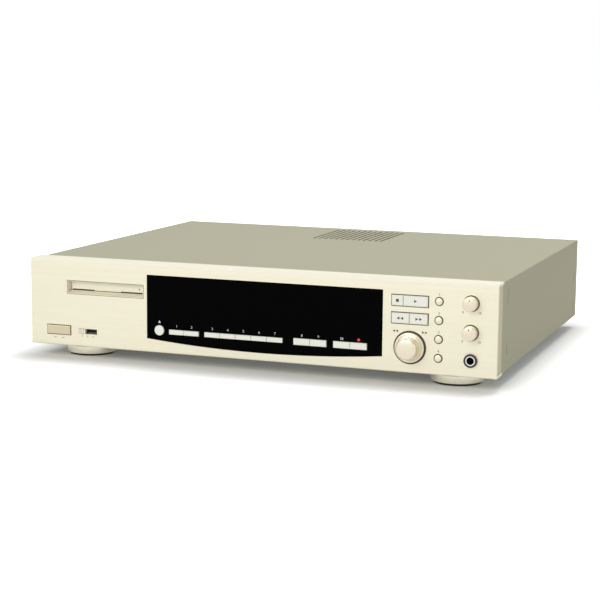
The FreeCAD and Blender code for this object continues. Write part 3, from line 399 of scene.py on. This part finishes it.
# Turned controls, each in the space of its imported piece
def jog():
    """The jog dial: a domed knob with a rounded edge, and a wider skirt behind it."""
    low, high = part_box("jog_dial")
    centre = face_centre(low, high)
    nose = low.y
    knob = 9.3 * MM
    dome = 0.5 * MM
    round_edge = 2.4 * MM
    skirt = (high.x - low.x) / 2
    skirt_edge = 1.2 * MM
    top = knob - round_edge
    points = dome_points(nose, top, dome, 8)
    points += arc_points((top, nose + dome + round_edge), round_edge, -80, 0, 8)
    points += [(knob, front - 3.4 * MM), (knob + 0.3 * MM, front - 2.6 * MM)]
    points += [(knob + 1.0 * MM, front - 2.4 * MM), (skirt - 1.6 * MM, front - 2.9 * MM)]
    points += arc_points((skirt - skirt_edge, front - 1.8 * MM), skirt_edge, -80, 0, 6)
    points += [(skirt, high.y), (0, high.y)]
    finish = turned_finish("jog_turned", (0.80, 0.74, 0.58), (centre[0], 0, centre[1]))
    build = lathe(points, centre, steps=160)
    piece = new_piece("jog_dial_turned", build, finish, "jog_dial", 40.0)
    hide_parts("jog_dial")


def level_knobs():
    """The two level knobs, each with a dark pointer printed on its dome."""
    edge = 1.1 * MM
    dome = 0.45 * MM
    for name in ("record_level_knob", "phones_level_knob"):
        low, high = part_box(name)
        centre = face_centre(low, high)
        radius = (high.x - low.x) / 2
        inner = radius * 0.965 - edge
        points = dome_points(low.y, inner, dome, 6)
        points += arc_points((inner, low.y + dome + edge), edge, -80, 0, 6)
        points += [(radius, high.y), (0, high.y)]
        finish = turned_finish(name + "_turned", (0.80, 0.72, 0.57), (centre[0], 0, centre[1]))
        piece = new_piece(name + "_cap", lathe(points, centre, steps=96), finish, name, 40.0)
        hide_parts(name)
        pointer_out, pointer_length, pointer_width = inner * 0.62, inner * 0.55, 0.7 * MM
        pointer_face = low.y + dome * 0.38
        mark = bar(centre[0], centre[1] + pointer_out, pointer_width, pointer_length)
        printed(name + "_pointer", [mark], pointer_face, ink_and_shade_dark, name)


def round_buttons():
    """The four small metal buttons and the cream eject button: cap, flange and stem in one."""
    names = ["round_button_%d" % n for n in range(1, 5)] + ["eject_button"]
    dome, edge = 0.25 * MM, 0.45 * MM
    flange_width, flange_thickness = 0.9 * MM, 1.0 * MM
    stem = 1.5 * MM
    flange_front = front + 5.3 * MM
    flange_back = flange_front + flange_thickness
    for name in names:
        low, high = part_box(name)
        centre = face_centre(low, high)
        flange = (high.x - low.x) / 2
        radius = flange - flange_width
        inner = radius - edge
        points = dome_points(low.y, inner, dome, 4)
        points += arc_points((inner, low.y + dome + edge), edge, -80, 0, 5)
        points += [(radius, flange_front), (flange, flange_front), (flange, flange_back)]
        points += [(stem, flange_back), (stem, high.y), (0, high.y)]
        if name == "eject_button":
            finish, slot = key_mould, "key_cream"
        else:
            axis = (centre[0], 0, centre[1])
            finish, slot = turned_finish(name + "_metal", (0.80, 0.73, 0.57), axis, roughness=0.38), "knob_gold"
        piece = new_piece(name + "_cap", lathe(points, centre, steps=64), finish, name, 40.0)
        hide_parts(name)


def turned_feet():
    """Four feet with a rolled bright ring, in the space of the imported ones."""
    low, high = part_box("feet")
    radius = 23.0 * MM
    neck = radius - 7 * MM
    ring_low = low.z
    ring_top = high.z - 3.0 * MM
    roll = 1.0 * MM
    screw_hole, screw_well, well_depth = 2.2 * MM, 5.0 * MM, 5.5 * MM
    band = brushed_finish("foot_ring", (0.80, 0.77, 0.64), (500, 500, 60), metallic=0.9, roughness=0.22)
    points = [(screw_hole, high.z), (neck, high.z), (neck, ring_top)]
    points += arc_points((radius - roll, ring_top - roll), roll, 90, 0, 6)
    points += arc_points((radius - roll, ring_low + roll), roll, 0, -90, 6)
    points += [(screw_well, ring_low), (screw_well, ring_low + well_depth)]
    points += [(screw_hole, ring_low + well_depth), (screw_hole, high.z)]

    def build(work):
        for x in (low.x + radius, high.x - radius):
            for y in (low.y + radius, high.y - radius):
                lathe(points, (x, y), upright=True, steps=120)(work)
        bmesh.ops.remove_doubles(work, verts=work.verts, dist=hair)

    piece = new_piece("feet_turned", build, band, "deck", 40.0)
    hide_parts("feet")
    shadow_collars(low, high, radius, neck, ring_top)


def shadow_collars(low, high, radius, neck, ring_top):
    """Painted shade: a thin black film round each foot's neck and over the top of its ring, where the gap under
    the panel lies in shadow.
    """
    film = 0.08 * MM
    outer = radius - 1.2 * MM
    base, top = ring_top + 0.01 * MM, high.z - 0.02 * MM
    points = [(neck, base), (outer, base), (outer, base + film), (neck + film, base + film)]
    points += [(neck + film, top), (neck, top), (neck, base)]
    for n, x in enumerate((low.x + radius, high.x - radius)):
        for m, y in enumerate((low.y + radius, high.y - radius)):
            collar = lathe(points, (x, y), upright=True, steps=72)
            new_piece("foot_painted_shade_collar_%d" % (2 * n + m + 1), collar, black_mould_and_shade, "deck")


def polished_bevel_highlight():
    """The cut bevel along the panel's top front edge, polished where the face is brushed, and painted lighter
    than the face as a highlight.
    """
    size = 1.8 * MM
    film = 0.02 * MM
    y0, z1 = panel_low.y, panel_high.z
    section = [(y0, z1 - size), (y0 + size, z1), (y0 + size - film, z1), (y0, z1 - size + film)]

    def build(work):
        ends = [[work.verts.new((x, y, z)) for y, z in section] for x in (panel_low.x, panel_high.x)]
        work.faces.new(ends[0])
        work.faces.new(list(reversed(ends[1])))
        for n in range(len(section)):
            m = (n + 1) % len(section)
            work.faces.new([ends[0][n], ends[1][n], ends[1][m], ends[0][m]])

    # A brighter colour than the face's, painted as a highlight over the real polish.
    polish_and_highlight = brushed_finish("bevel_polish_and_painted_highlight", (0.90, 0.87, 0.75), metallic=0.9, roughness=0.2)
    new_piece("panel_bevel_highlight", build, polish_and_highlight, "deck", 10.0)


def washer(name, spot, inner, outer, near, thickness, finish=None):
    """A flat ring that faces the front. Its radii are in millimetres."""
    far = near + thickness
    inner, outer = inner * MM, outer * MM
    corners = [(inner, near), (outer, near), (outer, far), (inner, far), (inner, near)]
    ring = lathe(corners, (spot.x, spot.z), steps=72)
    new_piece(name, ring, finish or black_mould_and_shade, "deck")


def phones_socket_trim():
    """The black collar round the socket's bright ring, and the dark lining of its hole."""
    low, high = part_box("phones_jack")
    x, z = face_centre(low, high)
    spot = Vector((x, 0, z))
    washer("socket_collar", spot, 4.15, 5.8, near=low.y - 0.05 * MM, thickness=1.55 * MM)
    washer("socket_lining", spot, 3.12, 3.24, near=low.y + 0.1 * MM, thickness=27.0 * MM)


def line_jack_sleeves():
    """A plated sleeve and a coloured insulator on each of the four line jacks at the rear."""
    low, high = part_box("jack_block")
    across, up = 14.0 * MM, 8.0 * MM
    mid_x, mid_z = (low.x + high.x) / 2, 52.0 * MM
    root, tip = high.y - 8.0 * MM, high.y
    inner, outer, chamfer = 3.5 * MM, 4.2 * MM, 0.3 * MM
    profile = [(inner, root), (outer, root), (outer, tip - chamfer), (outer - chamfer, tip)]
    profile += [(inner, tip), (inner, root)]
    places = [(mid_x + a * across, mid_z + b * up) for a in (-1, 1) for b in (-1, 1)]
    for n, (x, z) in enumerate(places):
        sleeve = lathe(profile, (x, z), steps=48)
        new_piece("line_jack_sleeve_%d" % (n + 1), sleeve, nickel, "deck")
        colour = jack_red if z < mid_z else jack_white
        spot = Vector((x, 0, z))
        washer("line_jack_ring_%d" % (n + 1), spot, 1.75, 3.48, tip - 0.15 * MM, 0.14 * MM, colour)


def gap_shade_lines():
    """Painted shade: thin dark strips in and round the gaps of keys, buttons, knobs and slot, where the gaps
    lie in shadow, and black strips in the timer switch's recess and along the bottom of the slot.
    """
    flange = 1.1 * MM
    for row, (left, right) in enumerate((("stop_key", "play_key"), ("rewind_key", "forward_key"))):
        low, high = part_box(left)[0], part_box(right)[1]
        shade_frame_line("transport_gap_%d" % (row + 1), low.x, high.x, low.z + flange, high.z - flange, 0.85 * MM)
    low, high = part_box("power_button")
    lip = 1.2 * MM
    shade_frame_line("power_gap", low.x, high.x, low.z + lip, high.z - lip, 0.7 * MM)
    on_face = front - ink_thickness
    for n in range(1, 5):
        spot = middle("round_button_%d" % n)
        washer("round_gap_%d" % n, spot, 3.05, 3.95, on_face, ink_thickness, ink_and_shade_dark)
    for name in ("record_level_knob", "phones_level_knob"):
        washer(name + "_gap", middle(name), 6.3, 7.0, on_face, ink_thickness, ink_and_shade_dark)
    washer("jog_rim_painted_shade", middle("jog_dial"), 13.75, 14.5, on_face, ink_thickness, ink_and_shade_dark)
    bezel_low, bezel_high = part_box("slot_bezel")
    shade_frame_line("slot_line", bezel_low.x, bezel_high.x, bezel_low.z, slot_top, 0.45 * MM, slot_edge_shade)
    # Painted shade: black strips in the timer switch's recess, above and below its knob.
    knob = middle("timer_switch_knob")
    recess_x, recess_face = panel_low.x + 58.05 * MM, front + 2.9 * MM
    for n, side in enumerate((-1, 1)):
        strip = bar(recess_x, knob.z + side * 1.6 * MM, 19.0 * MM, 1.5 * MM)
        printed("timer_recess_painted_shade_%d" % (n + 1), [strip], recess_face, black_mould_and_shade)
    # Painted shade: two black strips along the bottom of the slot, where the door's gap lies dark.
    low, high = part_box("slot_door")
    shade_height = 1.0 * MM
    strips = [bar(low.x + s * (high.x - low.x), low.z + shade_height * 0.2, 22 * MM, shade_height) for s in (0.18, 0.83)]
    printed("slot_gap_painted_shade", strips, low.y - 0.05 * MM, black_mould_and_shade)


def shade_frame_line(name, x0, x1, z0, z1, width, finish=None):
    """A thin dark frame of painted shade in the plane of the panel's face, round a rectangle."""
    sides = [bar((x0 + x1) / 2, z0 - width / 2, x1 - x0 + 2 * width, width)]
    sides.append(bar((x0 + x1) / 2, z1 + width / 2, x1 - x0 + 2 * width, width))
    sides.append(bar(x0 - width / 2, (z0 + z1) / 2, width, z1 - z0))
    sides.append(bar(x1 + width / 2, (z0 + z1) / 2, width, z1 - z0))
    printed(name, sides, front, finish or ink_and_shade_dark)


# Printed marks: plain symbols and numbers only, and one black ring of painted shade in the jog dial's gap
def transport_marks():
    size = 2.6 * MM
    for name in ("stop_key", "play_key", "rewind_key", "forward_key"):
        spot = middle(name)
        x, z = spot.x, spot.z
        shapes = {
            "stop_key": [bar(x, z, size, size)],
            "play_key": [triangle(x, z, size, (1, 0))],
            "rewind_key": [triangle(x + size * step, z, size, (-1, 0)) for step in (-0.75, 0.5)],
            "forward_key": [triangle(x + size * step, z, size, (1, 0)) for step in (-0.5, 0.75)],
        }
        printed(name + "_symbol", shapes[name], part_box(name)[0].y, ink_and_shade_dark, name)


def window_marks():
    face = window_low.y
    size = 2.2 * MM
    eject = middle("eject_button")
    printed("eject_symbol", [triangle(eject.x, eject.z + 8.0 * MM, size * 1.2, (0, 1))], face, ink_white)
    above = 5.4 * MM
    pause = middle("pause_key")
    bars = [bar(pause.x + s * 0.8 * MM, pause.z + above, 0.8 * MM, size) for s in (-1, 1)]
    printed("pause_symbol", bars, face, ink_white)
    record = middle("record_key")
    printed("record_symbol", [disc_outline(record.x, record.z + above, 1.3 * MM)], face, ink_red)
    keys = ["edit_key_1", "edit_key_2"] + ["mode_key_%d" % n for n in range(1, 6)]
    keys += ["title_key_1", "title_key_2"]
    for n, name in enumerate(keys):
        spot = middle(name)
        number(name + "_number", str(n + 1), spot.x, spot.z + above, 2.3 * MM, face, ink_white)


def panel_marks():
    face = front
    for n in range(1, 5):
        spot = middle("round_button_%d" % n)
        number("round_number_%d" % n, str(5 - n), spot.x, spot.z + 5.9 * MM, 2.4 * MM, face, ink_and_shade_dark)
    for name in ("record_level_knob", "phones_level_knob"):
        spot = middle(name)
        for text, side in (("0", -1), ("10", 1)):
            label = name + "_scale_" + text
            number(label, text, spot.x + side * 7.2 * MM, spot.z - 7.8 * MM, 2.1 * MM, face, ink_and_shade_dark)
    jog_spot = middle("jog_dial")
    # Painted shade: a black ring in the gap round the jog dial.
    washer("jog_gap_painted_shade", jog_spot, 13.1, 13.78, front + 0.3 * MM, 0.3 * MM)
    up = jog_spot.z + 13.6 * MM
    s = 2.2 * MM
    left, right = jog_spot.x - 13.0 * MM, jog_spot.x + 13.0 * MM
    marks = [triangle(left - s * 0.6, up, s, (-1, 0)), triangle(left + s * 0.6, up, s, (-1, 0))]
    marks += [triangle(right - s * 0.6, up, s, (1, 0)), triangle(right + s * 0.6, up, s, (1, 0))]
    printed("jog_arrows", marks, face, ink_and_shade_dark)
    knob = middle("timer_switch_knob")
    ticks = [bar(knob.x + n * 5.6 * MM, knob.z - 4.4 * MM, 0.5 * MM, 1.4 * MM) for n in range(3)]
    printed("timer_ticks", ticks, face, ink_and_shade_dark)
    power = middle("power_button")
    ticks = [bar(power.x + side * 4 * MM, power.z - 7.2 * MM, 3.0 * MM, 0.4 * MM) for side in (-1, 1)]
    printed("power_ticks", ticks, face, ink_and_shade_dark)
    door_low, door_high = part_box("slot_door")
    edge = door_high.x - 5.5 * MM
    spot_z = (door_low.z + door_high.z) / 2
    printed("door_arrow", [triangle(edge, spot_z, 1.6 * MM, (0, 1))], door_low.y, ink_and_shade_dark, "slot_door")


# Stage, lamps and camera
# The floor's glow: its strength beside the deck, kept low there to paint a shadow round the deck, how far out
# it is full, and what gloss sees of it.
shadow_glow = 0.03
shadow_reach = 0.095
gloss_glow = 0.2
# The glow starts to rise outside this rectangle about the middle, given by its half sides, so the painted
# shadow fades out from there.
deck_half = (0.20, 0.17, 0)
# The white world's strength as a light. Eye and gloss see it at 1.
room_light = 0.36


def white_stage():
    """A white floor that keeps the lamps' shadow: diffuse, with a glow for eye and gloss that rises outwards,
    so that a painted shadow also darkens the floor close round the deck.
    """
    size = 6.0
    mesh = bpy.data.meshes.new("floor")
    corners = [(-size, -size, 0), (size, -size, 0), (size, size, 0), (-size, size, 0)]
    mesh.from_pydata(corners, [], [(0, 1, 2, 3)])
    floor = bpy.data.objects.new("floor", mesh)
    bpy.context.scene.collection.objects.link(floor)
    material = bpy.data.materials.new("floor_white_painted_shadow")
    material.use_nodes = True
    nodes, links = material.node_tree.nodes, material.node_tree.links
    nodes.clear()
    diffuse = nodes.new("ShaderNodeBsdfDiffuse")
    diffuse.inputs["Color"].default_value = (0.80, 0.80, 0.79, 1)
    glow = nodes.new("ShaderNodeEmission")
    place = nodes.new("ShaderNodeTexCoord")
    from_middle = sum_node(nodes, "ABSOLUTE", vector=True)
    beyond = sum_node(nodes, "SUBTRACT", vector=True)
    beyond.inputs[1].default_value = deck_half
    outside = sum_node(nodes, "MAXIMUM", vector=True)
    outside.inputs[1].default_value = (0, 0, 0)
    away = sum_node(nodes, "LENGTH", vector=True)
    rise = nodes.new("ShaderNodeMapRange")
    rise.interpolation_type = "SMOOTHSTEP"
    rise.inputs["From Min"].default_value = 0.0
    rise.inputs["From Max"].default_value = shadow_reach
    rise.inputs["To Min"].default_value = shadow_glow
    rise.inputs["To Max"].default_value = 1.0
    path = nodes.new("ShaderNodeLightPath")
    direct = sum_node(nodes, "MULTIPLY")
    mirrored = sum_node(nodes, "MULTIPLY")
    mirrored.inputs[1].default_value = gloss_glow
    total = sum_node(nodes, "ADD")
    links.new(place.outputs["Object"], from_middle.inputs[0])
    links.new(from_middle.outputs["Vector"], beyond.inputs[0])
    links.new(beyond.outputs["Vector"], outside.inputs[0])
    links.new(outside.outputs["Vector"], away.inputs[0])
    links.new(away.outputs["Value"], rise.inputs["Value"])
    links.new(path.outputs["Is Camera Ray"], direct.inputs[0])
    links.new(rise.outputs["Result"], direct.inputs[1])
    links.new(path.outputs["Is Glossy Ray"], mirrored.inputs[0])
    links.new(direct.outputs[0], total.inputs[0])
    links.new(mirrored.outputs[0], total.inputs[1])
    links.new(total.outputs[0], glow.inputs["Strength"])
    both = nodes.new("ShaderNodeAddShader")
    out = nodes.new("ShaderNodeOutputMaterial")
    links.new(diffuse.outputs[0], both.inputs[0])
    links.new(glow.outputs[0], both.inputs[1])
    links.new(both.outputs[0], out.inputs["Surface"])
    mesh.materials.append(material)


def seen_by_eye(nodes, links):
    """1 for what the camera, gloss or glass sees, 0 for the light that falls on things."""
    path = nodes.new("ShaderNodeLightPath")
    first = sum_node(nodes, "MAXIMUM")
    second = sum_node(nodes, "MAXIMUM")
    links.new(path.outputs["Is Camera Ray"], first.inputs[0])
    links.new(path.outputs["Is Glossy Ray"], first.inputs[1])
    links.new(first.outputs[0], second.inputs[0])
    links.new(path.outputs["Is Transmission Ray"], second.inputs[1])
    return second.outputs[0]


def white_world():
    world = bpy.data.worlds.new("studio")
    bpy.context.scene.world = world
    world.use_nodes = True
    nodes, links = world.node_tree.nodes, world.node_tree.links
    background = nodes["Background"]
    background.inputs["Color"].default_value = (1, 1, 1, 1)
    seen = seen_by_eye(nodes, links)
    span = nodes.new("ShaderNodeMapRange")
    span.inputs["To Min"].default_value = room_light
    span.inputs["To Max"].default_value = 1.0
    links.new(seen, span.inputs["Value"])
    links.new(span.outputs["Result"], background.inputs["Strength"])


def lamp(name, place, target, size, power):
    data = bpy.data.lights.new(name, "AREA")
    data.shape = "RECTANGLE"
    data.size, data.size_y = size
    data.energy = power
    light = bpy.data.objects.new(name, data)
    light.location = place
    light.rotation_euler = (Vector(target) - Vector(place)).to_track_quat("-Z", "Y").to_euler()
    bpy.context.scene.collection.objects.link(light)


def lamps():
    centre = (0.0, 0.0, 0.05)
    lamp("top_softbox", (0.35, 0.45, 1.9), centre, (1.0, 0.8), 17)
    lamp("front_softbox", (-0.7, -2.2, 1.3), centre, (1.6, 1.2), 32)
    lamp("side_softbox", (2.2, 0.0, 0.9), centre, (1.0, 1.0), 4.5)


# The camera stands where the photograph's perspective puts it. It is measured from the middle of the lower edge
# of the front panel's face.
camera_right = 0.5188
camera_front = 1.2858
camera_up = 0.2711
camera_yaw = math.radians(20.237)
camera_pitch = math.radians(8.901)
camera_roll = math.radians(0.511)
photo_width = 600
focal_pixels = 1600.5
sensor = 36.0


def camera():
    data = bpy.data.cameras.new("camera")
    data.sensor_width = sensor
    data.lens = focal_pixels / photo_width * sensor
    data.clip_start = 0.01
    eye = bpy.data.objects.new("camera", data)
    bpy.context.scene.collection.objects.link(eye)
    eye.location = (camera_right, front - camera_front, panel_base + camera_up)
    across = math.sin(camera_yaw)
    along = math.cos(camera_yaw)
    level = math.cos(camera_pitch)
    forward = Vector((-across * level, along * level, -math.sin(camera_pitch)))
    right = Vector((along, across, 0))
    up = right.cross(forward)
    tilted_right = right * math.cos(camera_roll) + up * math.sin(camera_roll)
    tilted_up = up * math.cos(camera_roll) - right * math.sin(camera_roll)
    matrix = eye.matrix_world.to_3x3()
    for row in range(3):
        matrix[row][0] = tilted_right[row]
        matrix[row][1] = tilted_up[row]
        matrix[row][2] = -forward[row]
    eye.rotation_euler = matrix.to_euler()
    bpy.context.scene.camera = eye


paint_nodes()
jog()
level_knobs()
round_buttons()
turned_feet()
polished_bevel_highlight()
phones_socket_trim()
line_jack_sleeves()
gap_shade_lines()
transport_marks()
window_marks()
panel_marks()
white_stage()
white_world()
lamps()
camera()
bpy.context.scene.view_settings.view_transform = "Standard"

bpy.context.view_layer.update()
